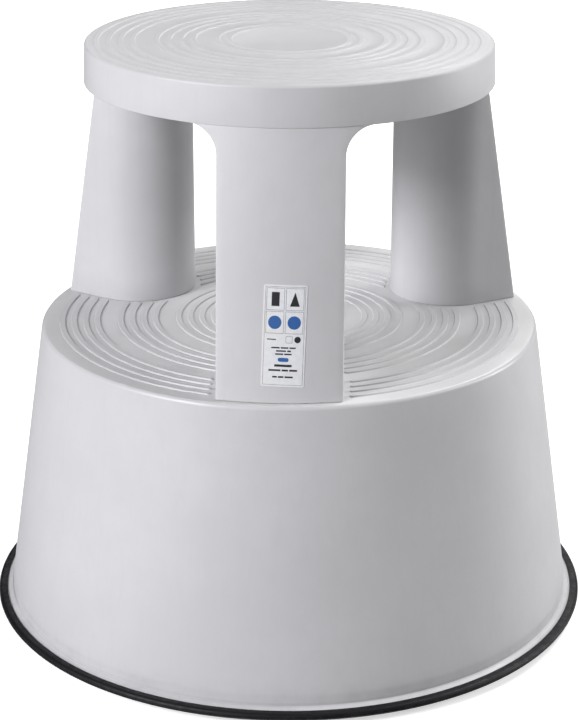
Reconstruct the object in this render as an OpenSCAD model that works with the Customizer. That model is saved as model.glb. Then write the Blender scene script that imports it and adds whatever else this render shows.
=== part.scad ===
// Kick step stool: a round two-step stool on three sprung castors.
// Unloaded it rolls on the castors. Weight on a step pushes the castors up inside the
// skirt until the rubber ring stands on the floor.
// Origin: floor level on the centre axis. +Z up. One pillar faces -Y. Lengths in mm.

/* [Overall] */
// Height of the top step above the floor
top_z = 425.4; // [410:0.2:440]
// Height of the lower step above the floor
deck_z = 218.5; // [205:0.5:230]
// Wall thickness of the two mouldings
wall = 4; // [3:0.5:5]

/* [Top step] */
// Radius of the top step at its upper edge
tread_r = 144.6; // [142:0.1:148]
// Height of the rim below the top surface
rim_h = 27.7; // [20:0.1:32]
// Outward draft of the rim, over its height
rim_flare = 0.9; // [0:0.1:2]
// Radius of the rim's upper edge
tread_edge_r = 2; // [1:0.5:4]

/* [Pillars] */
// Half the width of a pillar
pillar_half = 42.4; // [36:0.1:46]
// Radius at which the centre of a pillar's round nose stands
nose_centre_r = 135.6; // [130:0.1:140]
// Radius of a pillar's outer face, just under the rim
pillar_top_r = 145; // [142:0.1:145.4]
// Radius of a pillar's outer face on the lower step
pillar_foot_r = 176; // [172:0.1:178]
// Radius of the corner between a pillar's side and the rim
window_corner_r = 19.4; // [8:0.1:24]

/* [Base] */
// Radius of the lower step where its flat runs out to a sharp corner with the skirt
shoulder_r = 181.5; // [180:0.1:183.5]
// Radius of the edge between the lower step and the skirt
shoulder_edge_r = 4; // [3:0.5:8]
// Angle at which that edge drops away from the flat of the lower step
shoulder_break = 25; // [0:1:40]
// Draft angle of the skirt
skirt_draft = 8.4; // [6:0.1:9]
// Height at which the skirt steps in to its foot
step_z = 19; // [16:0.5:24]
// Depth of that step
step_in = 0.4; // [0.2:0.1:0.8]
// Height of the crease where the foot meets the flange, which falls outwards from there
crease_z = 11; // [10.6:0.1:12.8]
// Radius at which the flange has fallen to its flat
flange_flat_r = 215.4; // [214:0.1:215.6]
// Top of the flange's flat, which carries the rubber ring
flange_z = 9.6; // [9:0.1:10.5]
// Thickness of the flange
flange_t = 3.2; // [2.5:0.1:4]
// Outer radius of the flange
flange_r = 217.5; // [217:0.1:219]

/* [Rubber ring] */
// Outer radius of the ring
ring_r = 222.3; // [221:0.1:224]
// Gap between the ring and the floor with nobody on the stool
ring_lift = 5; // [4:0.5:6]
// Inner radius of the lip over the flange
ring_lip_r = 216; // [215.6:0.1:216.5]
// Inner radius of the sole under the flange
ring_sole_r = 207.5; // [205:0.5:212]

/* [Tread ridges] */
// Width of a ridge
ridge_w = 4.3; // [3:0.1:5]
// Height of a ridge on the lower step
deck_ridge_h = 0.9; // [0.5:0.1:1.5]
// Height of a ridge on the top step
tread_ridge_h = 0.5; // [0.3:0.1:1]
// Spacing of the ridges
ridge_pitch = 8.53; // [7:0.01:9.5]
// Every how many ridges one is left out
ridge_group = 5; // [3:1:6]
// Inner radius of the outermost ridge on the top step
tread_ridge_r = 134; // [130:0.1:136]
// Inner radius of the outermost ridge on the lower step
deck_ridge_r = 164.5; // [160:0.1:168]
// Ridge places on the top step, from the edge inwards
tread_ridge_n = 12; // [8:1:14]
// Ridge places on the lower step, from the edge inwards
deck_ridge_n = 18; // [10:1:18]
// Plain margin round each pillar
pillar_margin = 4; // [3:0.5:10]

/* [Label] */
// Width of the label
label_w = 28.7; // [20:0.1:40]
// Height of the label
label_h = 67; // [50:1:90]
// Height of the label's centre above the floor
label_z = 263.6; // [250:0.1:290]
// Sideways offset of the label's centre
label_x = 3.1; // [-10:0.1:10]
// Tilt of the label
label_tilt = 1.75; // [-4:0.25:4]

/* [Castors] */
// Radius of the circle on which the castors stand
castor_r = 158; // [145:1:160]
// Radius of a castor wheel
wheel_r = 17.5; // [15:0.5:18]
// Width of the wheel's hub
wheel_w = 15; // [12:0.5:18]
// Distance of the wheel's axle behind the swivel axis
trail = 14; // [10:0.5:16]
// Radius of the stem
stem_r = 5.5; // [4.5:0.1:6]
// Height of the spring with the castor down
spring_h = 30; // [26:1:34]
// Length of the sleeve that guides the stem
sleeve_h = 32; // [25:1:40]

/* [Hidden] */

$fn = 128;

// Directions of the pillars and of the castors, which stand between them
PILLAR_ANGLES = [270, 30, 150];
LEFT = 210;
RIGHT = 330;
REAR = 90;
CASTOR_ANGLES = [LEFT, RIGHT, REAR];

// Radial gap of a running fit, and of pieces that only sit together
run_gap = 0.05;
seat_gap = 0.05;
// How far a rib or boss is sunk into the wall that it grows from
sink = 1;

rim_z = top_z - rim_h;
under_z = deck_z - wall;
foot_z = deck_z + seat_gap;
skirt_slope = tan(skirt_draft);
pillar_slope = (pillar_foot_r - pillar_top_r) / (rim_z - deck_z);
rib_t = 3;
rib_h = 14;
tread_rib_rings = [25, 71];
base_rib_rings = [30, 90];

// Screws that hold each pillar to the lower step
screw_r = 2.5;
screw_head_r = 5;
screw_head_h = 3.6;
screw_len = 40;
screw_radii = [116, 156];
boss_r = 6.5;
boss_h = 36;
pad_r = 9;
pad_h = 3;
washer_r = 7.5;
washer_t = 1.2;
plug_h = 8;
plug_gap = 0.4;

// Castor heights, from the floor up
crown_t = 3;
crown_z = wheel_r * 2 + 3;
crown_r = 14;
journal_r = 4;
washer_z = crown_z + crown_t + seat_gap;
thrust_washer_t = 1.5;
collar_z = washer_z + thrust_washer_t + seat_gap;
collar_t = 2.4;
collar_r = 10.5;
spring_z = collar_z + collar_t;
sleeve_flange_t = 3;
socket_z = spring_z + spring_h + sleeve_flange_t;
sleeve_top_z = socket_z + sleeve_h;
clip_z = sleeve_top_z + seat_gap;
clip_t = 1.2;
clip_r = 9;
groove_r = 4.6;
stem_end = 6;
stem_top_z = clip_z + clip_t + stem_end;
socket_r = 11;
socket_wall = 3.5;
spring_coil_r = 8.4;
spring_wire_r = 0.9;
axle_r = 3;
ear_t = 2;
ear_gap = 0.5;
ear_boss_r = 7;
rivet_t = 2;

// Thickness of the tyre, and half its width
tyre_t = 4;
tyre_y = 6;

plastic = [0.80, 0.80, 0.81];

// Points of an arc about [cx, cy], for a profile of [radius, height]
function arc(cx, cy, r, from, to, steps = 6) =
    [for (i = [0 : steps]) let (a = from + (to - from) * i / steps)
        [cx + r * cos(a), cy + r * sin(a)]];

// Outer radius of the skirt, and of a pillar's face, at a height
function skirt_r(z) = shoulder_r + (deck_z - z) * skirt_slope;
function pillar_r(z) = pillar_top_r + (rim_z - z) * pillar_slope;

// Inner radii of the ridges, counted inwards, with one in each group left out
function ridge_radii(first, places) =
    [for (i = [0 : places - 1]) if (i % ridge_group != ridge_group - 1)
        first - i * ridge_pitch];

module at_pillars() {
    for (a = PILLAR_ANGLES) rotate([0, 0, a]) children();
}

module at_screws() {
    at_pillars() for (r = screw_radii) translate([r, 0, 0]) children();
}

module at_castor(angle) {
    rotate([0, 0, angle]) translate([castor_r, 0, 0]) children();
}

// A disc or ring standing on a height
module ring(outer, inner, z, h) {
    translate([0, 0, z]) linear_extrude(h) difference() {
        circle(r = outer);
        circle(r = inner);
    }
}

// Raised ridges round the centre, on a surface at height z
module ridges(first, places, z, h) {
    flank = h * 0.6;
    rotate_extrude() for (r = ridge_radii(first, places)) translate([r, z])
        polygon([[0, -sink], [0, 0], [flank, h], [ridge_w - flank, h],
                 [ridge_w, 0], [ridge_w, -sink]]);
}

// Plan of a pillar that points along +X: round nose inwards, straight sides outwards
module pillar_plan(grow = 0) {
    half = pillar_half + grow;
    translate([nose_centre_r, 0]) circle(r = half);
    translate([nose_centre_r, -half]) square([60, 2 * half]);
}

// Solid cone whose side is the pillars' outer face, moved inwards by inset
module pillar_cone(inset = 0) {
    low = deck_z - 2;
    high = top_z;
    rotate_extrude() polygon([[0, low], [pillar_r(low) - inset, low],
                              [pillar_r(high) - inset, high], [0, high]]);
}

module pillar_core(inset, low, high) {
    intersection() {
        translate([0, 0, low]) linear_extrude(high - low) pillar_plan(-inset);
        pillar_cone(inset);
    }
}

// Rounded corners between a pillar's sides and the rim, as deep as the wall
module window_corners() {
    // the arc runs just inside the faces that it blends
    centre = window_corner_r - 0.1;
    intersection() {
        difference() {
            pillar_cone();
            pillar_cone(wall);
        }
        for (side = [-1, 1]) translate([nose_centre_r - 40, 0, 0]) rotate([90, 0, 90])
            linear_extrude(60) difference() {
                translate([side * (pillar_half + (centre - sink) / 2), rim_z - (centre - sink) / 2])
                    square(centre + sink, center = true);
                translate([side * (pillar_half + centre), rim_z - centre])
                    circle(r = window_corner_r);
            }
    }
}

// Top plate with its rounded edge and drafted rim
module tread_shell() {
    low_r = tread_r + rim_flare;
    rotate_extrude() polygon(concat(
        [[0, top_z]],
        arc(tread_r - tread_edge_r, top_z - tread_edge_r, tread_edge_r, 90, 0),
        [[low_r, rim_z], [low_r - wall, rim_z], [tread_r - wall, top_z - wall],
         [0, top_z - wall]]));
}

module tread_ribs() {
    z = top_z - wall - rib_h;
    start = tread_rib_rings[0] - 2;
    for (r = tread_rib_rings) ring(r, r - rib_t, z, rib_h + sink);
    for (a = PILLAR_ANGLES) {
        rotate([0, 0, a]) translate([start, -rib_t / 2, z])
            cube([nose_centre_r - pillar_half + wall / 2 - start, rib_t, rib_h + sink]);
        rotate([0, 0, a + 60]) translate([start, -rib_t / 2, z])
            cube([tread_r - wall + sink - start, rib_t, rib_h + sink]);
    }
}

// Tubes that take the screws, each on a web between the pillar's sides
module screw_bosses() {
    web_z = deck_z + plug_h + 2;
    at_screws() translate([0, 0, foot_z]) cylinder(r = boss_r, h = boss_h);
    at_pillars() intersection() {
        for (r = screw_radii) translate([r - rib_t / 2, -pillar_half, web_z])
            cube([rib_t, 2 * pillar_half, foot_z + boss_h - web_z]);
        pillar_core(wall - sink, foot_z, rim_z);
    }
}

module upper_moulding() {
    color(plastic) difference() {
        union() {
            tread_shell();
            ridges(tread_ridge_r, tread_ridge_n, top_z, tread_ridge_h);
            tread_ribs();
            at_pillars() {
                difference() {
                    pillar_core(0, foot_z, top_z - wall + sink);
                    pillar_core(wall, deck_z - sink, top_z - wall);
                }
                window_corners();
            }
            screw_bosses();
        }
        at_screws() translate([0, 0, deck_z - sink])
            cylinder(r = screw_r + run_gap, h = boss_h - 2 + sink);
    }
}

// Lower step, skirt and flange in one wall
module base_shell() {
    edge = shoulder_edge_r;
    edge_z = deck_z - edge * cos(shoulder_break);
    wall_r = wall / cos(skirt_draft);
    edge_c = skirt_r(edge_z) - edge / cos(skirt_draft);
    flange_low = flange_z - flange_t;
    rotate_extrude() polygon(concat(
        [[0, deck_z]],
        arc(edge_c, edge_z, edge, 90 - shoulder_break, skirt_draft),
        [[skirt_r(step_z), step_z], [skirt_r(step_z) - step_in, step_z],
         [skirt_r(crease_z) - step_in, crease_z], [flange_flat_r, flange_z],
         [flange_r, flange_z], [flange_r, flange_low],
         [skirt_r(flange_low) - wall_r, flange_low],
         [skirt_r(under_z) - wall_r, under_z], [0, under_z]]));
}

// Solid that fills the base up to the middle of its wall, to trim the ribs
module base_inside() {
    low = flange_z;
    high = deck_z - wall / 2;
    rotate_extrude() polygon([[0, low], [skirt_r(low) - wall / 2, low],
                              [skirt_r(high) - wall / 2, high], [0, high]]);
}

module base_ribs() {
    z = under_z - rib_h;
    start = base_rib_rings[0] - 2;
    web_z = socket_z + 10;
    for (r = base_rib_rings) ring(r, r - rib_t, z, rib_h + sink);
    for (a = CASTOR_ANGLES) rotate([0, 0, a]) {
        translate([start, -rib_t / 2, z]) cube([castor_r - start, rib_t, rib_h + sink]);
        rotate([0, 0, 60]) translate([start, -rib_t / 2, z])
            cube([shoulder_r, rib_t, rib_h + sink]);
        // webs from the castor's socket to the skirt, where base_inside() cuts them off
        translate([castor_r, 0, 0]) for (turn = [-60, 0, 60]) rotate([0, 0, turn])
            translate([0, -rib_t / 2, web_z]) cube([flange_r / 2, rib_t, deck_z]);
    }
}

module base_moulding() {
    color(plastic) difference() {
        union() {
            base_shell();
            difference() {
                ridges(deck_ridge_r, deck_ridge_n, deck_z, deck_ridge_h);
                at_pillars() translate([0, 0, deck_z - 2 * sink]) linear_extrude(10)
                    pillar_plan(pillar_margin);
            }
            // D-shaped lips that the pillars drop over
            at_pillars() difference() {
                pillar_core(wall + plug_gap, deck_z - sink, deck_z + plug_h);
                pillar_core(wall + plug_gap + rib_t, deck_z - 2 * sink, deck_z + plug_h + sink);
            }
            intersection() {
                union() {
                    base_ribs();
                    at_screws() translate([0, 0, under_z - pad_h])
                        cylinder(r = pad_r, h = pad_h + sink);
                    for (a = CASTOR_ANGLES) at_castor(a) translate([0, 0, socket_z])
                        cylinder(r = socket_r + socket_wall, h = under_z - socket_z + sink);
                }
                base_inside();
            }
        }
        for (a = CASTOR_ANGLES) at_castor(a) translate([0, 0, socket_z - sink])
            cylinder(r = socket_r, h = under_z - socket_z + sink);
        at_screws() {
            translate([0, 0, under_z - pad_h - sink])
                cylinder(r = screw_r + 0.4, h = wall + pad_h + 2 * sink);
            // room for the washer and the screw's head where a rib passes
            translate([0, 0, under_z - rib_h - sink])
                cylinder(r = pad_r, h = rib_h + sink - pad_h);
        }
    }
}

// Rubber channel pressed over the flange; its sole stands on the floor under load
module bumper_ring() {
    lip_t = 0.8;
    top = flange_z + seat_gap + lip_t;
    round_r = (top - ring_lift) / 2 - 0.05;
    under = flange_z - flange_t - seat_gap;
    color([0.10, 0.10, 0.10]) rotate_extrude() polygon(concat(
        [[ring_lip_r, top]],
        arc(ring_r - round_r, top - round_r, round_r, 90, 0),
        arc(ring_r - round_r, ring_lift + round_r, round_r, 0, -90),
        [[ring_sole_r, ring_lift], [ring_sole_r, under], [flange_r + seat_gap, under],
         [flange_r + seat_gap, flange_z + seat_gap], [ring_lip_r, flange_z + seat_gap]]));
}

// Thin sticker on the front pillar's face
module pillar_label() {
    label_t = 0.2;
    glue_t = 0.02;
    color([0.95, 0.95, 0.96]) intersection() {
        difference() {
            pillar_cone(-label_t - glue_t);
            pillar_cone(-glue_t);
        }
        translate([label_x, -pillar_foot_r - 10, label_z]) rotate([0, label_tilt, 0])
            translate([-label_w / 2, 0, -label_h / 2]) cube([label_w, pillar_half, label_h]);
    }
}

// Cross-recess pan head screws, driven up through the lower step
module pillar_screws() {
    head_z = under_z - pad_h - washer_t - screw_head_h;
    point_h = 3;
    color("silver") at_screws() translate([0, 0, head_z]) difference() {
        union() {
            rotate_extrude() polygon(concat(
                arc(screw_head_r - 2, 2, 2, 270, 360),
                [[screw_head_r, screw_head_h], [0, screw_head_h], [0, 0]]));
            translate([0, 0, screw_head_h - sink])
                cylinder(r = screw_r, h = screw_len - point_h + sink);
            translate([0, 0, screw_head_h + screw_len - point_h])
                cylinder(r1 = screw_r, r2 = 0.8, h = point_h);
        }
        for (a = [0, 90]) rotate([0, 0, a]) translate([-2.6, -0.5, -sink])
            cube([5.2, 1, 2 + sink]);
    }
}

module pillar_washers() {
    color("silver") at_screws()
        ring(washer_r, screw_r + 0.2, under_z - pad_h - washer_t, washer_t);
}

// Flanged plastic sleeve, pressed up into a socket of the base
module guide_sleeve(angle) {
    color("ivory") at_castor(angle) {
        difference() {
            union() {
                translate([0, 0, socket_z - sleeve_flange_t])
                    cylinder(r = socket_r + socket_wall, h = sleeve_flange_t - seat_gap);
                translate([0, 0, socket_z - sink])
                    cylinder(r = socket_r - seat_gap, h = sleeve_h + sink);
            }
            translate([0, 0, socket_z - sleeve_flange_t - sink])
                cylinder(r = stem_r + run_gap, h = sleeve_h + sleeve_flange_t + 2 * sink);
        }
    }
}

// Height of the coil's centre line at a turn: closed end coils, open between them
spring_turns = 6;
spring_low = spring_z + spring_wire_r + seat_gap;
spring_high = spring_z + spring_h - spring_wire_r - seat_gap;
end_rise = 2 * spring_wire_r + 0.2;
function coil_z(turn) =
    turn < 1 ? spring_low + end_rise * turn
    : turn > spring_turns - 1 ? spring_high - end_rise * (spring_turns - turn)
    : spring_low + end_rise
        + (spring_high - spring_low - 2 * end_rise) * (turn - 1) / (spring_turns - 2);

// Compression spring round the stem: a ring of points swept along the coil
module spring(angle) {
    sides = 6;
    steps = spring_turns * 18;
    points = [for (i = [0 : steps], k = [0 : sides - 1])
        let (turn = i * spring_turns / steps, a = turn * 360, b = k * 360 / sides,
             r = spring_coil_r + spring_wire_r * cos(b))
        [r * cos(a), r * sin(a), coil_z(turn) + spring_wire_r * sin(b)]];
    skin = [for (i = [0 : steps - 1], k = [0 : sides - 1])
        let (n = (k + 1) % sides)
        [i * sides + k, i * sides + n, (i + 1) * sides + n, (i + 1) * sides + k]];
    start_cap = [for (k = [0 : sides - 1]) sides - 1 - k];
    end_cap = [for (k = [0 : sides - 1]) steps * sides + k];
    color("gray") at_castor(angle)
        polyhedron(points, concat([start_cap], skin, [end_cap]), convexity = 12);
}

// Steel stem: riveted journal for the fork, collar under the spring, groove for the clip
module stem(angle) {
    rivet_z = crown_z - seat_gap - rivet_t;
    color("silver") at_castor(angle) rotate_extrude() polygon([
        [0, rivet_z], [journal_r + 2, rivet_z], [journal_r + 2, rivet_z + rivet_t],
        [journal_r, rivet_z + rivet_t], [journal_r, collar_z], [collar_r, collar_z],
        [collar_r, spring_z], [stem_r, spring_z], [stem_r, clip_z - seat_gap],
        [groove_r, clip_z - seat_gap], [groove_r, clip_z + clip_t + seat_gap],
        [stem_r, clip_z + clip_t + seat_gap], [stem_r, stem_top_z - 1],
        [stem_r - 1, stem_top_z], [0, stem_top_z]]);
}

// Open ring that snaps into the stem's groove
module retaining_clip(angle) {
    color("dimgray") at_castor(angle) translate([0, 0, clip_z]) linear_extrude(clip_t)
        difference() {
            circle(r = clip_r);
            circle(r = groove_r + seat_gap);
            translate([-clip_r - 1, -3.5]) square([clip_r + 1, 7]);
        }
}

module thrust_washer(angle) {
    color("ivory") at_castor(angle)
        ring(collar_r - 1, journal_r + run_gap, washer_z, thrust_washer_t);
}

// Pressed fork: crown on the stem, and two ears down to the axle, which trails inwards
module fork(angle) {
    ear_y = wheel_w / 2 + ear_gap;
    outer_y = ear_y + ear_t;
    front = crown_r - 4;
    back = -crown_r - 2;
    color("silver") at_castor(angle) difference() {
        union() {
            translate([0, 0, crown_z]) cylinder(r = crown_r, h = crown_t);
            for (side = [-1, 1]) translate([0, side * (ear_y + ear_t / 2), 0])
                rotate([90, 0, 0]) linear_extrude(ear_t, center = true) {
                    translate([-trail, wheel_r]) circle(r = ear_boss_r);
                    polygon([[-trail - ear_boss_r, wheel_r], [-trail + ear_boss_r, wheel_r],
                             [front, crown_z], [front, crown_z + crown_t],
                             [back, crown_z + crown_t], [back, crown_z]]);
                }
            translate([back, -outer_y, crown_z]) cube([front - back, 2 * outer_y, crown_t]);
        }
        translate([0, 0, crown_z - sink]) cylinder(r = journal_r + run_gap, h = crown_t + 2 * sink);
        translate([-trail, 0, wheel_r]) rotate([90, 0, 0])
            cylinder(r = axle_r + 0.02, h = 2 * (outer_y + sink), center = true);
    }
}

// Riveted axle with a head outside each ear
module axle(angle) {
    half = wheel_w / 2 + ear_gap + ear_t;
    head_t = 1.4;
    color("silver") at_castor(angle) translate([-trail, 0, wheel_r]) rotate([90, 0, 0]) {
        cylinder(r = axle_r, h = 2 * half + 1, center = true);
        for (side = [-1, 1]) translate([0, 0, side * (half + seat_gap + head_t / 2)])
            cylinder(r = axle_r + 1.5, h = head_t, center = true);
    }
}

// Wheel core: hub, web and rim
module wheel(angle) {
    bore = axle_r + run_gap;
    hub = axle_r + 3;
    hub_y = wheel_w / 2;
    rim = wheel_r - tyre_t;
    web_y = 2;
    color([0.25, 0.25, 0.27]) at_castor(angle) translate([-trail, 0, wheel_r])
        rotate([90, 0, 0]) rotate_extrude() polygon([
            [bore, -hub_y], [hub, -hub_y], [hub, -web_y], [rim - 2, -web_y],
            [rim - 2, -tyre_y], [rim, -tyre_y], [rim, tyre_y], [rim - 2, tyre_y],
            [rim - 2, web_y], [hub, web_y], [hub, hub_y], [bore, hub_y]]);
}

// Soft tread round the wheel core
module tyre(angle) {
    inner = wheel_r - tyre_t + seat_gap;
    edge = 2;
    color("gray") at_castor(angle) translate([-trail, 0, wheel_r])
        rotate([90, 0, 0]) rotate_extrude() polygon(concat(
            [[inner, -tyre_y]], arc(wheel_r - edge, edge - tyre_y, edge, 270, 360, 4),
            arc(wheel_r - edge, tyre_y - edge, edge, 0, 90, 4), [[inner, tyre_y]]));
}

upper_moulding();
base_moulding();
bumper_ring();
pillar_label();
pillar_screws();
pillar_washers();
guide_sleeve(LEFT);  // left_guide_sleeve
spring(LEFT);  // left_spring
stem(LEFT);  // left_stem
retaining_clip(LEFT);  // left_retaining_clip
thrust_washer(LEFT);  // left_thrust_washer
fork(LEFT);  // left_fork
axle(LEFT);  // left_axle
wheel(LEFT);  // left_wheel
tyre(LEFT);  // left_tyre
guide_sleeve(RIGHT);  // right_guide_sleeve
spring(RIGHT);  // right_spring
stem(RIGHT);  // right_stem
retaining_clip(RIGHT);  // right_retaining_clip
thrust_washer(RIGHT);  // right_thrust_washer
fork(RIGHT);  // right_fork
axle(RIGHT);  // right_axle
wheel(RIGHT);  // right_wheel
tyre(RIGHT);  // right_tyre
guide_sleeve(REAR);  // rear_guide_sleeve
spring(REAR);  // rear_spring
stem(REAR);  // rear_stem
retaining_clip(REAR);  // rear_retaining_clip
thrust_washer(REAR);  // rear_thrust_washer
fork(REAR);  // rear_fork
axle(REAR);  // rear_axle
wheel(REAR);  // rear_wheel
tyre(REAR);  // rear_tyre
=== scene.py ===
"""Looks for a kick step stool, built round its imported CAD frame.

The two mouldings, the rubber ring, the sticker and the springs are finer meshes that stand
for their CAD nodes. The screws, washers and castor parts are the CAD nodes themselves, with
a finish of their own. Shapes are worked out in millimetres and stored in metres.
"""
import math

import bmesh
import bpy
from mathutils import Euler, Matrix, Vector


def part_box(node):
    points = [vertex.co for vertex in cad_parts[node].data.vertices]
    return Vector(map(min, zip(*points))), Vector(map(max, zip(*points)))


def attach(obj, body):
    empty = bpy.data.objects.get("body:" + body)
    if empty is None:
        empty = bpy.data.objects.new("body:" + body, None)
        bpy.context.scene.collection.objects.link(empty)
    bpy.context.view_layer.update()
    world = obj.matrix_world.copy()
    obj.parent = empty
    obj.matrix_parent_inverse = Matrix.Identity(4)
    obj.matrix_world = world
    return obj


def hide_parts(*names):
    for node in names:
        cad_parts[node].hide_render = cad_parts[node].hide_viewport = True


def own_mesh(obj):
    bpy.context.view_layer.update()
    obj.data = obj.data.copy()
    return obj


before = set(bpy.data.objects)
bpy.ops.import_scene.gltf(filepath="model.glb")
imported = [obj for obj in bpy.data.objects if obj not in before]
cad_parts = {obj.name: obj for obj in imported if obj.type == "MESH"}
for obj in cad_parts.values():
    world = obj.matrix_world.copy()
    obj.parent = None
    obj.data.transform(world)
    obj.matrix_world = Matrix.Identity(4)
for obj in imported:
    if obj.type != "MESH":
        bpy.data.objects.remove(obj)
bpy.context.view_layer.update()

MM = 0.001
BODY = "stool_body"

# Walls, ribs and how far a rib is sunk into the wall it grows from, in millimetres
WALL, RIB_T, RIB_H, SINK = 4.0, 3.0, 14.0, 1.0

# Outer radii of the ring ribs under each step, and where the straight ribs start
DECK_RING_RADII, DECK_RIB_START = (30, 90), 28
TREAD_RING_RADII, TREAD_RIB_START = (25, 71), 23.5

# Screw pads, bosses and the lips that the pillars drop over
SCREW_RADII, PAD_R, PAD_BORE_R, PAD_H = (116, 156), 9.0, 3.0, 3.0
BOSS_R, BOSS_BORE_R, BOSS_H = 6.5, 2.55, 36.0
PLUG_H, PLUG_GAP = 8.0, 0.4

# Heights read from the frame
FOOT_LOW, TREAD_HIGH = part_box("upper_moulding")
RING_LOW, RING_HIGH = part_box("bumper_ring")
FOOT_Z = FOOT_LOW.z / MM
DECK_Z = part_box("pillar_washers")[1].z / MM + PAD_H + WALL

# Tread ridges: inner radius of the outermost, number of places, height and width of the shoulders
RIDGE_W, RIDGE_PITCH, RIDGE_GROUP = 4.3, 8.53, 5
TREAD_RIDGE_R, TREAD_RIDGE_N, TREAD_RIDGE_H, TREAD_SHOULDER_W = 134.0, 12, 0.5, 0.95
DECK_RIDGE_R, DECK_RIDGE_N, DECK_RIDGE_H, DECK_SHOULDER_W = 164.5, 18, 0.9, 0.6
# Plain strip that the deck's ridges leave round each pillar
PILLAR_MARGIN = 4.0

# Top step
TOP_Z = TREAD_HIGH.z / MM - TREAD_RIDGE_H
TREAD_R, RIM_H, RIM_FLARE, TREAD_EDGE_R, RIM_FOOT_R = 144.6, 27.7, 0.9, 2.0, 0.5
RIM_Z = TOP_Z - RIM_H

# Pillars
PILLAR_ANGLES = (270, 30, 150)
PILLAR_HALF, NOSE_CENTRE_R = 42.4, 135.6
PILLAR_TOP_R, PILLAR_FOOT_R = 145.0, 176.0
PILLAR_SLOPE = (PILLAR_FOOT_R - PILLAR_TOP_R) / (RIM_Z - DECK_Z)
WINDOW_CORNER_R, PILLAR_EDGE_R, PILLAR_FOOT_EDGE = 19.4, 1.3, 0.7

# Base
SHOULDER_R, SHOULDER_EDGE_R, SHOULDER_BREAK_DEG, SKIRT_DRAFT_DEG = 181.5, 4.0, 25.0, 8.4
STEP_Z, CREASE_Z, FLANGE_FLAT_R = 19.0, 11.0, 215.4
FLANGE_Z, FLANGE_T, FLANGE_R = 9.6, 3.2, 217.5
UNDER_Z = DECK_Z - WALL

# Rubber ring
RING_R, RING_LIP_R, RING_SOLE_R, RING_LIP_T = RING_HIGH.x / MM, 216.0, 207.5, 0.8

# Label on the front pillar
LABEL_W, LABEL_H, LABEL_X, LABEL_Z, LABEL_TILT_DEG = 28.7, 67.0, 3.1, 263.6, 1.75

# Castors
CASTOR_ANGLES = {"left": 210, "right": 330, "rear": 90}
CASTOR_R, SOCKET_R, SOCKET_WALL = 158.0, 11.0, 3.5
# Plain end of a socket below its ribs
SOCKET_END = 10.0
SOCKET_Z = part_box("left_guide_sleeve")[0].z / MM + 3.0
SPRING_COIL_R, SPRING_WIRE_R, SPRING_TURNS = 8.4, 0.9, 6


# ---------------------------------------------------------------- mesh helpers

def turned(x, y, angle_deg):
    """A plan point turned about the centre axis."""
    c, s = math.cos(math.radians(angle_deg)), math.sin(math.radians(angle_deg))
    return x * c - y * s, x * s + y * c


def arc(cx, cz, radius, start, end, steps):
    """Points of an arc in a profile of (radius, height), from start to end in degrees."""
    points = []
    for i in range(steps + 1):
        a = math.radians(start + (end - start) * i / steps)
        points.append((cx + radius * math.cos(a), cz + radius * math.sin(a)))
    return points


def grid_faces(rows, columns, first=0, close_rows=False):
    """Quads over a grid of vertices stored row by row, closed round the columns."""
    faces = []
    for i in range(rows if close_rows else rows - 1):
        for j in range(columns):
            k, n = (i + 1) % rows, (j + 1) % columns
            faces.append((first + i * columns + j, first + i * columns + n,
                          first + k * columns + n, first + k * columns + j))
    return faces


def tidy_mesh(mesh):
    """Merges doubles, drops collapsed faces and points every face outwards."""
    bm = bmesh.new()
    bm.from_mesh(mesh)
    bmesh.ops.remove_doubles(bm, verts=bm.verts, dist=2e-6)
    bmesh.ops.dissolve_degenerate(bm, edges=bm.edges, dist=1e-7)
    bmesh.ops.recalc_face_normals(bm, faces=bm.faces)
    bm.to_mesh(mesh)
    bm.free()


def shade(obj, sharp_deg=32):
    """Smooth shading, with edges kept sharp above an angle."""
    obj.data.shade_smooth()
    obj.data.set_sharp_from_angle(angle=math.radians(sharp_deg))


def make_object(name, vertices, faces):
    """A smooth-shaded mesh object from vertices in millimetres."""
    mesh = bpy.data.meshes.new(name)
    mesh.from_pydata([Vector(v) * MM for v in vertices], [], faces)
    tidy_mesh(mesh)
    obj = bpy.data.objects.new(name, mesh)
    bpy.context.scene.collection.objects.link(obj)
    shade(obj)
    return obj


def lathe(profile, columns=360, angle_of=None, lift_of=None, centre=(0.0, 0.0)):
    """Vertices and faces of a closed solid of revolution.

    The profile is a list of (radius, height): either an outline that starts and ends on the
    axis, or a closed ring clear of it. angle_of(radius, column) bends the columns, and
    lift_of(radius, height, angle) raises the surface.
    """
    on_axis = profile[0][0] == 0
    body = profile[1:-1] if on_axis else profile
    vertices = []
    for r, z in body:
        for j in range(columns):
            a = angle_of(r, j) if angle_of else 2 * math.pi * j / columns
            lift = lift_of(r, z, a) if lift_of else 0.0
            vertices.append((centre[0] + r * math.cos(a), centre[1] + r * math.sin(a), z + lift))
    faces = grid_faces(len(body), columns, close_rows=not on_axis)
    if on_axis:
        top, bottom = len(vertices), len(vertices) + 1
        vertices += [(*centre, profile[0][1]), (*centre, profile[-1][1])]
        last = (len(body) - 1) * columns
        for j in range(columns):
            n = (j + 1) % columns
            faces.append((top, n, j))
            faces.append((bottom, last + j, last + n))
    return vertices, faces


def prism(outline, low, high):
    """A closed solid between two heights. Each outline point is (x, y) or (x_low, x_high, y)."""
    count = len(outline)
    vertices = [(p[0], p[-1], low) for p in outline]
    vertices += [((p[1] if len(p) == 3 else p[0]), p[-1], high) for p in outline]
    faces = grid_faces(2, count)
    faces += [tuple(range(count)), tuple(range(count, 2 * count))]
    return vertices, faces


def turned_part(part, angle_deg):
    """A part's vertices and faces, turned about the centre axis."""
    vertices, faces = part
    return [(*turned(x, y, angle_deg), z) for x, y, z in vertices], faces


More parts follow.
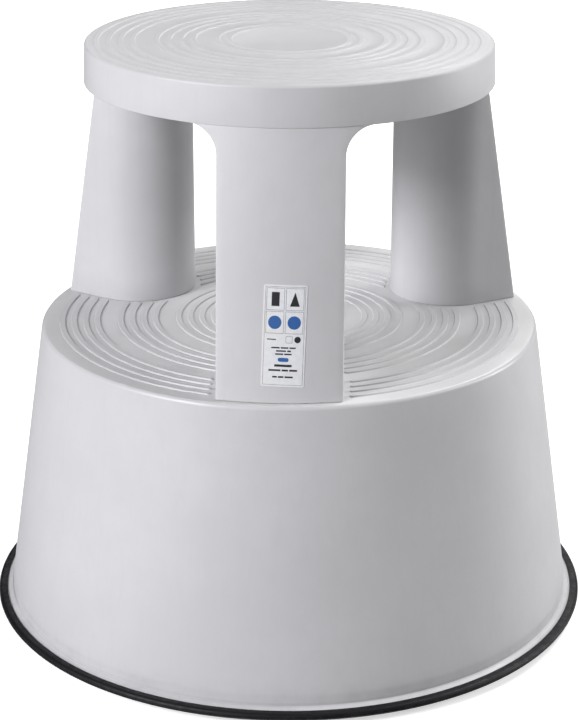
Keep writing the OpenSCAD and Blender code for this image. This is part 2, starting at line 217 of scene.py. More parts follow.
def union(obj, others):
    """Joins closed solids into one skin and removes the others."""
    for other in others:
        join = obj.modifiers.new("union", "BOOLEAN")
        join.operation = "UNION"
        join.solver = "MANIFOLD"
        join.object = other
        bpy.context.view_layer.objects.active = obj
        bpy.ops.object.modifier_apply(modifier=join.name)
        bpy.data.objects.remove(other)
    return obj


def union_of(name, shell, parts):
    """One skin from a main shell and smaller closed solids that overlap it."""
    pieces = [make_object(f"{name}_part", *part) for part in parts]
    union(pieces[0], pieces[1:])
    union(shell, pieces[:1])
    shade(shell)
    return shell


# ---------------------------------------------------------------- tread ridges

def ridge_centres(first, places):
    """Centre radii of the ridges, counted inwards, with one in each group left out."""
    return [first - i * RIDGE_PITCH + RIDGE_W / 2 for i in range(places)
            if i % RIDGE_GROUP != RIDGE_GROUP - 1]


TREAD_CENTRES = ridge_centres(TREAD_RIDGE_R, TREAD_RIDGE_N)
DECK_CENTRES = ridge_centres(DECK_RIDGE_R, DECK_RIDGE_N)

# Rows of vertices across a ridge, measured from its centre line
RIDGE_HALF_ROWS = (0.7, 1.3, 1.5, 1.7, 1.9, 2.1, 2.3)


def ridge_lift(distance, height, shoulder):
    """Rise of a ridge at a distance from its centre line: a flat crest and soft shoulders."""
    t = (RIDGE_HALF_ROWS[-1] - distance) / shoulder
    t = min(1.0, max(0.0, t))
    return height * t * t * (3 - 2 * t)


def ridged_rows(centres, start, stop, z):
    """Profile points across a ridged surface, from start outwards to stop."""
    offsets = [-d for d in reversed(RIDGE_HALF_ROWS)] + [0.0] + list(RIDGE_HALF_ROWS)
    radii = [start] + [c + d for c in sorted(centres) for d in offsets] + [stop]
    return [(r, z) for r in radii]


def block_angle(r, grow):
    """Half angle that a pillar's plan, grown by a margin, takes up at a radius, or 0."""
    half = PILLAR_HALF + grow
    if r <= NOSE_CENTRE_R - half:
        return 0.0
    c = (r * r + NOSE_CENTRE_R ** 2 - half ** 2) / (2 * r * NOSE_CENTRE_R)
    if r * c <= NOSE_CENTRE_R:
        return math.acos(min(1.0, c))
    return math.asin(half / r)


# Radii of the rows of vertices across the plain parts of each step
INNER_ROW_R = 6.0
PLATE_ROWS = (120, 60, INNER_ROW_R, 0)


# ---------------------------------------------------------------- base moulding

# Columns across one third of the base: close together where the ridges end
END_STEPS = (0.0, 0.35, 0.75, 1.2, 1.7, 2.3, 3.2, 5.0)
SPAN_COLUMNS, FOOT_COLUMNS = 60, 8
SECTOR = 2 * (len(END_STEPS) - 1) + SPAN_COLUMNS + FOOT_COLUMNS
# Inside this radius the columns stop following the pillars' margin
INNERMOST_END_R = 94.0


def base_angle(r, column):
    """Angle of a column, which follows the plain margin round each pillar."""
    sector, k = divmod(column, SECTOR)
    middle = math.radians(PILLAR_ANGLES[0] + 120 * sector)
    reach = min(max(r, INNERMOST_END_R), SHOULDER_R)
    edge = block_angle(reach, PILLAR_MARGIN)
    if k < FOOT_COLUMNS:
        return middle - edge + 2 * edge * k / FOOT_COLUMNS
    k -= FOOT_COLUMNS
    ends = len(END_STEPS) - 1
    free = 2 * math.pi / 3 - 2 * edge
    lead = END_STEPS[-1] / reach
    if k <= ends:
        along = END_STEPS[k] / reach
    elif k >= ends + SPAN_COLUMNS:
        along = free - END_STEPS[2 * ends + SPAN_COLUMNS - k] / reach
    else:
        along = lead + (free - 2 * lead) * (k - ends) / SPAN_COLUMNS
    return middle + edge + along


def angle_to_pillar(angle):
    """Angle between a direction and the nearest pillar, in radians."""
    gaps = [(angle - math.radians(a) + math.pi) % (2 * math.pi) - math.pi for a in PILLAR_ANGLES]
    return min(abs(g) for g in gaps)


def deck_lift(r, z, angle):
    """Relief of the lower step: ridges with round ends, clear of the pillars."""
    if z != DECK_Z:
        return 0.0
    across = min(abs(c - r) for c in DECK_CENTRES)
    edge = block_angle(r, PILLAR_MARGIN)
    if edge > 0.0:
        along = (angle_to_pillar(angle) - edge) * r
        if along < 0:
            return 0.0
        across = math.hypot(across, max(0.0, RIDGE_HALF_ROWS[-1] - along))
    return ridge_lift(across, DECK_RIDGE_H, DECK_SHOULDER_W)


DRAFT = math.radians(SKIRT_DRAFT_DEG)


def skirt_r(z):
    """Outer radius of the skirt at a height."""
    return SHOULDER_R + (DECK_Z - z) * math.tan(DRAFT)


# Below the step the wall goes straight down to the crease
CREASE_R = skirt_r(STEP_Z)


def base_profile():
    """Outline of the base's wall: across the deck, down the skirt, and back up inside."""
    edge_z = DECK_Z - SHOULDER_EDGE_R * math.cos(math.radians(SHOULDER_BREAK_DEG))
    edge_c = skirt_r(edge_z) - SHOULDER_EDGE_R / math.cos(DRAFT)
    edge = arc(edge_c, edge_z, SHOULDER_EDGE_R, 90 - SHOULDER_BREAK_DEG, SKIRT_DRAFT_DEG, 10)
    flange_low = FLANGE_Z - FLANGE_T
    flange_edge, step_edge, plain_edge = 0.4, 0.6, 0.4
    thick = WALL / math.cos(DRAFT)
    inner_edge = 3.0
    heights = [200, 150, 100, 50, 22]
    profile = [(0, DECK_Z)]
    profile += ridged_rows(DECK_CENTRES, INNER_ROW_R, edge[0][0] - plain_edge, DECK_Z) + edge
    profile += [(skirt_r(z), z) for z in (*heights, STEP_Z + step_edge)]
    profile += [(CREASE_R, STEP_Z - step_edge), (CREASE_R, CREASE_Z + 0.2)]
    profile += [(CREASE_R + 0.2, CREASE_Z), (FLANGE_FLAT_R, FLANGE_Z)]
    profile += arc(FLANGE_R - flange_edge, FLANGE_Z - flange_edge, flange_edge, 90, 0, 3)
    profile += [(FLANGE_R, flange_low), (skirt_r(flange_low) - thick, flange_low)]
    profile += [(skirt_r(z) - thick, z) for z in reversed(heights)]
    profile += arc(skirt_r(UNDER_Z) - thick - inner_edge, UNDER_Z - inner_edge, inner_edge,
                   SKIRT_DRAFT_DEG, 90, 4)
    profile += [(r, UNDER_Z) for r in PLATE_ROWS]
    return profile


def reach_skirt(x, y, z):
    """Distance from (x, y) along +X to the middle of the skirt's wall at a height."""
    return math.sqrt((skirt_r(z) - WALL / 2) ** 2 - y * y) - x


def skirt_rib(turn_deg, low, high):
    """A rib from a socket's wall to the skirt, turned by turn_deg from the socket's radius."""
    near = SOCKET_R + SOCKET_WALL / 2
    # the base's centre, seen from the socket, with the rib along +X
    centre_x, centre_y = turned(CASTOR_R, 0, -turn_deg)
    outline = []
    for y in (-RIB_T / 2, RIB_T / 2):
        far = [reach_skirt(centre_x, centre_y + y, z) for z in (low, high)]
        ends = [(near, near, y), (far[0], far[1], y)]
        outline += ends if y < 0 else list(reversed(ends))
    vertices, faces = turned_part(prism(outline, low, high), turn_deg)
    return [(x + CASTOR_R, y, z) for x, y, z in vertices], faces


def deck_rib(start, end, low):
    """A straight rib under the lower step, along +X."""
    half = RIB_T / 2
    return prism([(start, -half), (end, -half), (end, half), (start, half)], low, UNDER_Z + SINK)


def ring_part(outer, inner, low, high, columns=96, centre=(0.0, 0.0)):
    """A plain ring with square corners."""
    profile = [(inner, low), (outer, low), (outer, high), (inner, high)]
    return lathe(profile, columns, centre=centre)


def d_lip(angle_deg):
    """The raised lip on the deck that a pillar drops over."""
    outer = pillar_outline(DECK_Z + PLUG_H, 0.0, WALL + PLUG_GAP)
    inner = pillar_outline(DECK_Z + PLUG_H, 0.0, WALL + PLUG_GAP + RIB_T)
    low, high = DECK_Z - SINK, DECK_Z + PLUG_H
    count = len(outer)
    vertices = []
    for plan, z in ((outer, low), (outer, high), (inner, high), (inner, low)):
        vertices += [(*turned(x, y, angle_deg), z) for x, y in plan]
    return vertices, grid_faces(4, count, close_rows=True)


def build_base():
    """The lower step and skirt, with its ribs, castor sockets, lips and screw pads."""
    skin = lathe(base_profile(), 3 * SECTOR, base_angle, deck_lift)
    shell = make_object("base_moulding_shell", *skin)
    rib_z = UNDER_Z - RIB_H
    web_z = SOCKET_Z + SOCKET_END
    parts = [ring_part(r, r - RIB_T, rib_z, UNDER_Z + SINK) for r in DECK_RING_RADII]
    for a in CASTOR_ANGLES.values():
        centre = turned(CASTOR_R, 0, a)
        tube_r = SOCKET_R + SOCKET_WALL
        parts.append(ring_part(tube_r, SOCKET_R, SOCKET_Z, UNDER_Z + SINK, 64, centre))
        parts.append(turned_part(deck_rib(DECK_RIB_START, CASTOR_R - SOCKET_R - 1, rib_z), a))
        to_pad = min(SCREW_RADII) - PAD_R + 0.5
        parts.append(turned_part(deck_rib(DECK_RIB_START, to_pad, rib_z), a + 60))
        for turn in (-60, 0, 60):
            parts.append(turned_part(skirt_rib(turn, web_z, UNDER_Z + SINK), a))
    for a in PILLAR_ANGLES:
        parts.append(d_lip(a))
        for r in SCREW_RADII:
            centre = turned(r, 0, a)
            parts.append(ring_part(PAD_R, PAD_BORE_R, UNDER_Z - PAD_H, UNDER_Z + SINK, 48, centre))
    return union_of("base", shell, parts)


# ---------------------------------------------------------------- upper moulding

def tread_lift(r, z, angle):
    """Relief of the top step."""
    if z != TOP_Z:
        return 0.0
    return ridge_lift(min(abs(c - r) for c in TREAD_CENTRES), TREAD_RIDGE_H, TREAD_SHOULDER_W)


def tread_profile():
    """Outline of the top step: across the tread, down the rim, and back inside."""
    edge_c = TREAD_R - TREAD_EDGE_R
    low_r = TREAD_R + RIM_FLARE
    under = TOP_Z - WALL
    profile = [(0, TOP_Z)]
    profile += ridged_rows(TREAD_CENTRES, INNER_ROW_R, edge_c - 1.0, TOP_Z)
    profile += arc(edge_c, TOP_Z - TREAD_EDGE_R, TREAD_EDGE_R, 90, 2, 8)
    profile += [(TREAD_R + RIM_FLARE / 2, TOP_Z - RIM_H / 2)]
    profile += arc(low_r - RIM_FOOT_R, RIM_Z + RIM_FOOT_R, RIM_FOOT_R, 0, -90, 4)
    profile += [(low_r - WALL, RIM_Z), (TREAD_R - WALL, under)]
    profile += [(r, under) for r in PLATE_ROWS]
    return profile


def pillar_r(z):
    """Radius of a pillar's outer face at a height."""
    return PILLAR_TOP_R + (RIM_Z - z) * PILLAR_SLOPE


FACE_STEPS, EDGE_STEPS, SIDE_STEPS, NOSE_STEPS = 10, 4, 6, 20
EAR_DEPTH = 3.4


def pillar_outline(z, ear, inset=0.0):
    """Plan of a pillar that points along +X, with its face widened by ear on both sides."""
    radius = pillar_r(z) - inset
    half = PILLAR_HALF - inset
    centre_y = half + ear - PILLAR_EDGE_R
    centre_x = math.sqrt((radius - PILLAR_EDGE_R) ** 2 - centre_y ** 2)
    face_end = math.atan2(centre_y, centre_x)
    side = []
    for i in range(FACE_STEPS):
        a = face_end * i / FACE_STEPS
        side.append((radius * math.cos(a), radius * math.sin(a)))
    for i in range(EDGE_STEPS + 1):
        a = face_end + (math.pi / 2 - face_end) * i / EDGE_STEPS
        side.append((centre_x + PILLAR_EDGE_R * math.cos(a), centre_y + PILLAR_EDGE_R * math.sin(a)))
    ear_x = centre_x - EAR_DEPTH
    back_x = max(NOSE_CENTRE_R, ear_x)
    side.append((ear_x if ear else back_x, half + ear))
    side += [(back_x + (NOSE_CENTRE_R - back_x) * i / SIDE_STEPS, half) for i in range(SIDE_STEPS + 1)]
    for i in range(1, NOSE_STEPS + 1):
        a = math.pi / 2 * (1 + i / NOSE_STEPS)
        side.append((NOSE_CENTRE_R + half * math.cos(a), half * math.sin(a)))
    return side + [(x, -y) for x, y in reversed(side[1:-1])]


def pillar_part(angle_deg):
    """A hollow pillar from the deck up into the top step, flared where it meets the rim."""
    corner_z = RIM_Z - WINDOW_CORNER_R
    edge_z = FOOT_Z + PILLAR_FOOT_EDGE
    # height, ear and inset of each row up the outside
    rows = [(FOOT_Z, 0.0, PILLAR_FOOT_EDGE), (FOOT_Z + 0.2, 0.0, 0.3), (edge_z, 0.0, 0.0)]
    rows += [(edge_z + (corner_z - edge_z) * i / 8, 0.0, 0.0) for i in range(1, 9)]
    for i in range(1, 13):
        a = math.radians(90 * i / 12)
        rows.append((corner_z + WINDOW_CORNER_R * math.sin(a), WINDOW_CORNER_R * (1 - math.cos(a)), 0.0))
    rows += [(RIM_Z + 1.0, WINDOW_CORNER_R, 0.0), (RIM_Z + 1.0, 0.0, 0.0), (TOP_Z - 2, 0.0, 0.0)]
    inside = [(TOP_Z - WALL - 0.5, 0.0, WALL), (RIM_Z, 0.0, WALL), (FOOT_Z, 0.0, WALL)]
    vertices = []
    for z, ear, inset in rows + inside:
        vertices += [(*turned(x, y, angle_deg), z) for x, y in pillar_outline(z, ear, inset)]
    count = len(vertices) // (len(rows) + len(inside))
    outer_top, inner_top = (len(rows) - 1) * count, len(rows) * count
    faces = grid_faces(len(rows), count)
    faces += grid_faces(len(inside), count, inner_top)
    faces += [tuple(range(outer_top, outer_top + count)), tuple(range(inner_top, inner_top + count))]
    inner_foot = inner_top + (len(inside) - 1) * count
    for j in range(count):
        n = (j + 1) % count
        faces.append((j, n, inner_foot + n, inner_foot + j))
    return vertices, faces


def boss_web(radius, side):
    """Half of the web that carries a screw boss, from the boss to a pillar's side wall."""
    low, high = DECK_Z + PLUG_H + 2, FOOT_Z + BOSS_H
    half = PILLAR_HALF - WALL + SINK
    behind = max(0.0, NOSE_CENTRE_R - radius)
    near, far = side * (BOSS_R - SINK), side * math.sqrt(half * half - behind * behind)
    x0, x1 = radius - RIB_T / 2, radius + RIB_T / 2
    return prism([(x0, near), (x1, near), (x1, far), (x0, far)], low, high)


def tread_rib(end, angle_deg):
    """A straight rib under the top step."""
    half, low, high = RIB_T / 2, TOP_Z - WALL - RIB_H, TOP_Z - WALL + SINK
    outline = [(TREAD_RIB_START, -half), (end, -half), (end, half), (TREAD_RIB_START, half)]
    return turned_part(prism(outline, low, high), angle_deg)


def build_upper():
    """The top step and its three pillars, with ribs and screw bosses."""
    shell = make_object("upper_moulding_shell", *lathe(tread_profile(), 360, None, tread_lift))
    parts = [pillar_part(a) for a in PILLAR_ANGLES]
    low, high = TOP_Z - WALL - RIB_H, TOP_Z - WALL + SINK
    parts += [ring_part(r, r - RIB_T, low, high) for r in TREAD_RING_RADII]
    for a in PILLAR_ANGLES:
        parts.append(tread_rib(NOSE_CENTRE_R - PILLAR_HALF + 2, a))
        parts.append(tread_rib(TREAD_R - WALL + 1, a + 60))
        for r in SCREW_RADII:
            centre = turned(r, 0, a)
            parts.append(ring_part(BOSS_R, BOSS_BORE_R, FOOT_Z, FOOT_Z + BOSS_H, 48, centre))
            parts += [turned_part(boss_web(r, side), a) for side in (-1, 1)]
    return union_of("upper", shell, parts)


# ---------------------------------------------------------------- ring, label and springs

def build_ring():
    """Rubber channel over the flange, with a rounded outer side."""
    top, low = RING_HIGH.z / MM, RING_LOW.z / MM
    round_r = (top - low) / 2 - 0.05
    lip_z, under = top - RING_LIP_T, FLANGE_Z - FLANGE_T - 0.05
    lip_edge = 0.3
    middle, groove = (top + low) / 2, 0.35
    profile = arc(RING_LIP_R + lip_edge, top - lip_edge, lip_edge, 180, 90, 3)
    profile += arc(RING_R - round_r, top - round_r, round_r, 90, 12, 8)
    profile += arc(RING_R, middle, groove, 90, 270, 6)
    profile += arc(RING_R - round_r, low + round_r, round_r, -12, -90, 8)
    profile += [(RING_SOLE_R + 0.5, low), (RING_SOLE_R, low + 0.5), (RING_SOLE_R, under)]
    profile += [(FLANGE_R + 0.05, under), (FLANGE_R + 0.05, lip_z), (RING_LIP_R, lip_z)]
    return make_object("bumper_ring_rubber", *lathe(profile, 360))


def label_point(u, v, lift):
    """A point on the front pillar's face, from the label's own axes: u right, v up."""
    c, s = math.cos(math.radians(LABEL_TILT_DEG)), math.sin(math.radians(LABEL_TILT_DEG))
    x, z = LABEL_X + u * c + v * s, LABEL_Z - u * s + v * c
    radius = pillar_r(z) + lift
    return x, -math.sqrt(radius * radius - x * x), z


def sheet(outline_rows, low, high):
    """A thin closed sheet on the label, from rows of (u, v) points, between two lifts."""
    rows, columns = len(outline_rows), len(outline_rows[0])
    vertices, faces = [], []
    for lift in (low, high):
        vertices += [label_point(u, v, lift) for row in outline_rows for u, v in row]
    size = rows * columns
    for i in range(rows - 1):
        for j in range(columns - 1):
            a = i * columns + j
            quad = (a, a + 1, a + columns + 1, a + columns)
            faces += [quad, tuple(k + size for k in reversed(quad))]
    border = list(range(columns))
    border += [i * columns + columns - 1 for i in range(1, rows)]
    border += [(rows - 1) * columns + j for j in range(columns - 2, -1, -1)]
    border += [i * columns for i in range(rows - 2, 0, -1)]
    for k, a in enumerate(border):
        b = border[(k + 1) % len(border)]
        faces.append((a, b, b + size, a + size))
    return vertices, faces


def rounded_rows(u0, u1, v0, v1, radius, columns=12, rows=16):
    """Rows of points over a rectangle with rounded corners."""
    half_w, half_h = (u1 - u0) / 2, (v1 - v0) / 2
    cu, cv = (u0 + u1) / 2, (v0 + v1) / 2
    corner = [half_h - radius + radius * math.sin(math.radians(15 * i)) for i in range(7)]
    heights = [-h for h in reversed(corner)]
    heights += [-corner[0] + 2 * corner[0] * i / rows for i in range(1, rows)] + corner
    points = []
    for h in heights:
        beyond = max(0.0, abs(h) - (half_h - radius))
        width = half_w - radius + math.sqrt(max(0.0, radius * radius - beyond * beyond))
        points.append([(cu + width * (2 * j / columns - 1), cv + h) for j in range(columns + 1)])
    return points


def plain_rows(u0, u1, v0, v1, columns=4):
    """Two rows of points over a plain rectangle."""
    return [[(u0 + (u1 - u0) * j / columns, v) for j in range(columns + 1)] for v in (v0, v1)]


def disc_rows(cu, cv, radius, steps=16):
    """Rows of points over a disc, each row as wide as the disc there."""
    rows = []
    for i in range(steps + 1):
        a = math.pi * (i / steps - 0.5)
        width = max(0.02, radius * math.cos(a))
        rows.append([(cu + width * k, cv + radius * math.sin(a)) for k in (-1, -0.33, 0.33, 1)])
    return rows


def frame_parts(u0, u1, v0, v1, line):
    """Four strips round a rectangle, a hair apart so that each stays a closed solid."""
    inner = line + 0.01
    return [plain_rows(u0, u1, v0, v0 + line), plain_rows(u0, u1, v1 - line, v1),
            plain_rows(u0, u0 + line, v0 + inner, v1 - inner, 1),
            plain_rows(u1 - line, u1, v0 + inner, v1 - inner, 1)]


def dashes(lengths, centre, v, height, gap=0.8):
    """Plain dashes in a row, centred, where small print would stand."""
    u = centre - (sum(lengths) + gap * (len(lengths) - 1)) / 2
    rows = []
    for length in lengths:
        rows.append(plain_rows(u, u + length, v - height / 2, v + height / 2, 2))
        u += length + gap
    return rows


FILM_LOW, FILM_HIGH, INK_HIGH = 0.04, 0.22, 0.26


def build_label():
    """A plain film with rounded corners."""
    rows = rounded_rows(-LABEL_W / 2, LABEL_W / 2, -LABEL_H / 2, LABEL_H / 2, 1.2)
    return make_object("pillar_label_film", *sheet(rows, FILM_LOW, FILM_HIGH))


def ink_object(name, row_sets):
    """Printed shapes as one piece."""
    vertices, faces = [], []
    for rows in row_sets:
        part_vertices, part_faces = sheet(rows, FILM_HIGH, INK_HIGH)
        first = len(vertices)
        vertices += part_vertices
        faces += [tuple(k + first for k in f) for f in part_faces]
    return make_object(name, vertices, faces)


def build_label_print():
    """A generic print: four outlined panels with plain shapes, then rows of plain dashes."""
    left, right = -LABEL_W / 2 + 1.1, LABEL_W / 2 - 1.1
    top, bottom = LABEL_H / 2 - 1.1, -LABEL_H / 2 + 1.1
    panel_h = 14.6
    line = 0.28
    outlines = frame_parts(left, right, bottom, top, line)
    dark, blue = [], []
    for row in (0, 1):
        v1 = top - 0.9 - row * (panel_h + 0.7)
        v0 = v1 - panel_h
        for u0, u1 in ((left + 0.9, -0.45), (0.45, right - 0.9)):
            outlines += frame_parts(u0, u1, v0, v1, line)
            cu, cv = (u0 + u1) / 2, (v0 + v1) / 2
            if row:
                blue.append(disc_rows(cu, cv, 4.4))
            elif u0 < 0:
                dark.append(plain_rows(cu - 2.6, cu + 2.6, cv - 4.6, cv + 4.6))
            else:
                dark.append([[(cu - w, v), (cu + w, v)] for w, v in
                             ((3.2, cv - 4.6), (1.6, cv), (0.05, cv + 4.6))])
    strip_v = top - 0.9 - 2 * (panel_h + 0.7)
    dark += dashes((6.0,), -8.2, strip_v - 3.2, 0.7)
    outlines += frame_parts(1.2, 5.6, strip_v - 5.4, strip_v - 0.9, line)
    dark.append(disc_rows(9.0, strip_v - 3.1, 2.1))
    first = strip_v - 8.6
    for k, words in enumerate(((5.4, 5.0, 4.0), (6.6, 2.4), (5.2, 4.8))):
        dark += dashes(words, 0.0, first - 2.1 * k, 0.95)
    blue.append(rounded_rows(-3.6, 3.6, first - 9.2, first - 6.6, 1.2))
    dark += dashes((11.5,), 0.0, first - 11.8, 1.5)
    dark += dashes((8.0, 4.2, 5.2), 0.0, first - 14.9, 1.2)
    dark += dashes((3.0, 3.6, 5.4), 0.0, first - 19.3, 1.1)
    return [ink_object("label_outline_print", outlines), ink_object("label_dark_print", dark),
            ink_object("label_blue_print", blue)]


def coil_height(turn, low, high):
    """Height of a spring's centre line: closed end coils, open between them."""
    rise = 2 * SPRING_WIRE_R + 0.2
    if turn < 1:
        return low + rise * turn
    if turn > SPRING_TURNS - 1:
        return high - rise * (SPRING_TURNS - turn)
    return low + rise + (high - low - 2 * rise) * (turn - 1) / (SPRING_TURNS - 2)


def build_spring(side):
    """A compression spring with closed, ground ends."""
    low, high = (v.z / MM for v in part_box(f"{side}_spring"))
    cx, cy = turned(CASTOR_R, 0, CASTOR_ANGLES[side])
    steps, sides = SPRING_TURNS * 40, 12
    vertices = []
    for i in range(steps + 1):
        turn = i * SPRING_TURNS / steps
        a = 2 * math.pi * turn + math.radians(CASTOR_ANGLES[side])
        z = coil_height(turn, low + SPRING_WIRE_R, high - SPRING_WIRE_R)
        for k in range(sides):
            b = 2 * math.pi * k / sides
            r = SPRING_COIL_R + SPRING_WIRE_R * math.cos(b)
            height = min(high - 0.12, max(low + 0.12, z + SPRING_WIRE_R * math.sin(b)))
            vertices.append((cx + r * math.cos(a), cy + r * math.sin(a), height))
    faces = grid_faces(steps + 1, sides)
    faces += [tuple(range(sides)), tuple(steps * sides + k for k in range(sides))]
    return make_object(f"{side}_spring_wire", vertices, faces)


# ---------------------------------------------------------------- materials

class Graph:
    """The shader nodes of one material, with short calls for the nodes used here."""

    def __init__(self, name, metallic=0.0, specular=0.5):
        self.material = bpy.data.materials.new(name)
        self.material.use_nodes = True
        self.tree = self.material.node_tree
        self.shader = self.tree.nodes["Principled BSDF"]
        self.shader.inputs["Metallic"].default_value = metallic
        self.shader.inputs["Specular IOR Level"].default_value = specular
        self.place = self.node("ShaderNodeTexCoord").outputs["Object"]

    def node(self, kind, **settings):
        made = self.tree.nodes.new(kind)
        for key, value in settings.items():
            setattr(made, key, value)
        return made

    def put(self, socket, value):
        """Links a value to a socket, or sets it if the value is a plain number or colour."""
        if isinstance(value, bpy.types.NodeSocket):
            self.tree.links.new(value, socket)
        else:
            socket.default_value = value

    def math(self, operation, a, b=0.0, clamp=False):
        made = self.node("ShaderNodeMath", operation=operation, use_clamp=clamp)
        self.put(made.inputs[0], a)
        self.put(made.inputs[1], b)
        return made.outputs[0]

    def stretched(self, scale):
        """Object coordinates, in metres, multiplied by a scale along each axis."""
        made = self.node("ShaderNodeMapping")
        self.put(made.inputs["Vector"], self.place)
        made.inputs["Scale"].default_value = scale
        return made.outputs["Vector"]

    def noise(self, scale, detail=2.0, roughness=0.5, coordinates=None):
        made = self.node("ShaderNodeTexNoise")
        self.put(made.inputs["Vector"], coordinates or self.place)
        made.inputs["Scale"].default_value = scale
        made.inputs["Detail"].default_value = detail
        made.inputs["Roughness"].default_value = roughness
        return made.outputs["Fac"]

    def cells(self, scale, coordinates=None):
        made = self.node("ShaderNodeTexVoronoi")
        self.put(made.inputs["Vector"], coordinates or self.place)
        made.inputs["Scale"].default_value = scale
        return made.outputs["Distance"]

    def remap(self, value, low, high, to_low=0.0, to_high=1.0):
        """A smooth step from to_low to to_high as the value goes from low to high."""
        made = self.node("ShaderNodeMapRange", interpolation_type="SMOOTHSTEP")
        for socket, amount in zip(made.inputs, (value, low, high, to_low, to_high)):
            self.put(socket, amount)
        return made.outputs["Result"]

    def mix(self, amount, a, b):
        made = self.node("ShaderNodeMix", data_type="RGBA")
        self.put(made.inputs[0], amount)
        self.put(made.inputs[6], (*a, 1) if isinstance(a, tuple) else a)
        self.put(made.inputs[7], (*b, 1) if isinstance(b, tuple) else b)
        return made.outputs[2]

    def radius_and_height(self):
        """Distance from the stool's axis, and height, in millimetres."""
        parts = self.node("ShaderNodeSeparateXYZ")
        self.put(parts.inputs[0], self.place)
        x, y, z = parts.outputs
        squares = self.math("ADD", self.math("MULTIPLY", x, x), self.math("MULTIPLY", y, y))
        radius = self.math("DIVIDE", self.math("SQRT", squares), MM)
        return radius, self.math("DIVIDE", z, MM)

    def leftness(self, low, high, most):
        """From 0 to most, as the share of the distance from the axis that points left rises."""
        parts = self.node("ShaderNodeSeparateXYZ")
        self.put(parts.inputs[0], self.place)
        radius, _ = self.radius_and_height()
        share = self.math("DIVIDE", self.math("MULTIPLY", parts.outputs[0], -1 / MM), radius)
        return self.remap(share, low, high, 0, most)

    def bump(self, height, depth, normal=None):
        """Turns a height of 0 to 1 into relief of that depth in metres."""
        made = self.node("ShaderNodeBump")
        made.inputs["Distance"].default_value = depth
        self.put(made.inputs["Height"], height)
        if normal:
            self.put(made.inputs["Normal"], normal)
        return made.outputs["Normal"]

    def finish(self, colour, roughness, normal=None):
        self.put(self.shader.inputs["Base Color"], colour)
        self.put(self.shader.inputs["Roughness"], roughness)
        if normal:
            self.put(self.shader.inputs["Normal"], normal)
        return self.material


ROUGH = 0.43


def moulded_grey():
    """Light grey moulded plastic: spark-eroded grain, faint flow streaks, scuffs and grime, with painted
    light on the lower step's flats and painted shade on its ridges' flanks and in the foot's crease.
    """
    g = Graph("moulded_grey")
    radius, height = g.radius_and_height()
    clouds = g.noise(9, 4, 0.55)
    blotches = g.noise(70, 3)
    colour = g.mix(g.remap(clouds, 0.3, 0.7), (0.600, 0.598, 0.612), (0.640, 0.637, 0.652))
    colour = g.mix(g.remap(blotches, 0.35, 0.75, 0, 0.35), colour, (0.590, 0.588, 0.600))
    streaks = g.noise(1, 3, 0.6, g.stretched((260, 260, 5)))
    colour = g.mix(g.remap(streaks, 0.45, 0.75, 0, 0.16), colour, (0.560, 0.560, 0.575))

    # painted light: the lower step's flats are painted paler, standing in for more light reaching them
    # under the top step, and boots leave grime on the flats of both steps
    on_deck = g.math("LESS_THAN", g.math("ABSOLUTE", g.math("SUBTRACT", height, DECK_Z)), 0.35)
    on_tread = g.math("LESS_THAN", g.math("ABSOLUTE", g.math("SUBTRACT", height, TOP_Z)), 0.35)
    flats = g.math("ADD", on_deck, on_tread, clamp=True)
    worn = g.remap(g.noise(38, 4, 0.65), 0.35, 0.8, 0.0, 0.2)
    # painted light on the lower step's flats
    colour = g.mix(g.math("MULTIPLY", on_deck, 0.5), colour, (0.720, 0.716, 0.720))
    colour = g.mix(g.math("MULTIPLY", flats, worn), colour, (0.530, 0.525, 0.520))
    # grime and painted shade on the flanks of the lower step's ridges, dimming their highlights and
    # darkening their lines, less near the middle
    lift = g.math("SUBTRACT", height, DECK_Z)
    flank_shade_and_grime = g.math("MULTIPLY", g.remap(lift, 0.05, 0.2), g.remap(lift, DECK_RIDGE_H, DECK_RIDGE_H - 0.1))
    outer_share = g.remap(radius, 50, 120, 0.1, 0.5)
    # painted shade and grime on the ridges' flanks
    colour = g.mix(g.math("MULTIPLY", flank_shade_and_grime, outer_share), colour, (0.430, 0.427, 0.430))
    # darker in patches towards the skirt's foot
    foot = g.remap(height, FLANGE_Z + 22, FLANGE_Z, 0, 1)
    foot_patches = g.remap(g.noise(55, 4, 0.7), 0.4, 0.75, 0.0, 0.4)
    colour = g.mix(g.math("MULTIPLY", foot, foot_patches), colour, (0.460, 0.455, 0.450))

    # painted shade in the crease between the foot and the flange, strongest on the left
    near = g.remap(radius, CREASE_R + 1.6, CREASE_R + 0.4)
    low = g.remap(height, CREASE_Z + 3, CREASE_Z + 1)
    left_shade_strength = g.math("ADD", g.leftness(0.92, 1.0, 0.5), 0.15)
    crease_shade = g.math("MULTIPLY", g.math("MULTIPLY", near, low), left_shade_strength)
    colour = g.mix(crease_shade, colour, (0.240, 0.236, 0.235))

    # a few specks and short scuffs
    dots = g.remap(g.cells(19), 0.018, 0.010, 0, 0.4)
    scuffs = g.remap(g.cells(15, g.stretched((1.0, 1.0, 3.2))), 0.030, 0.016, 0, 0.22)
    rare = g.math("GREATER_THAN", g.noise(14, 1), 0.56)
    marks = g.math("MULTIPLY", g.math("MAXIMUM", dots, scuffs), rare)
    colour = g.mix(marks, colour, (0.340, 0.335, 0.335))

    grain = g.noise(2600, 2)
    ripple = g.noise(60, 2)
    # rubbed edges are smoother than the grained faces
    shoulder = g.remap(g.math("ABSOLUTE", g.math("SUBTRACT", radius, SHOULDER_R - 1)), 6, 1, 0, 0.08)
    roughness = g.remap(g.noise(30, 4, 0.6), 0.25, 0.75, ROUGH - 0.05, ROUGH + 0.06)
    roughness = g.math("SUBTRACT", roughness, shoulder)
    roughness = g.math("ADD", roughness, g.math("MULTIPLY", marks, 0.3))
    normal = g.bump(ripple, 0.00006)
    return g.finish(colour, roughness, g.bump(grain, 0.000022, normal))


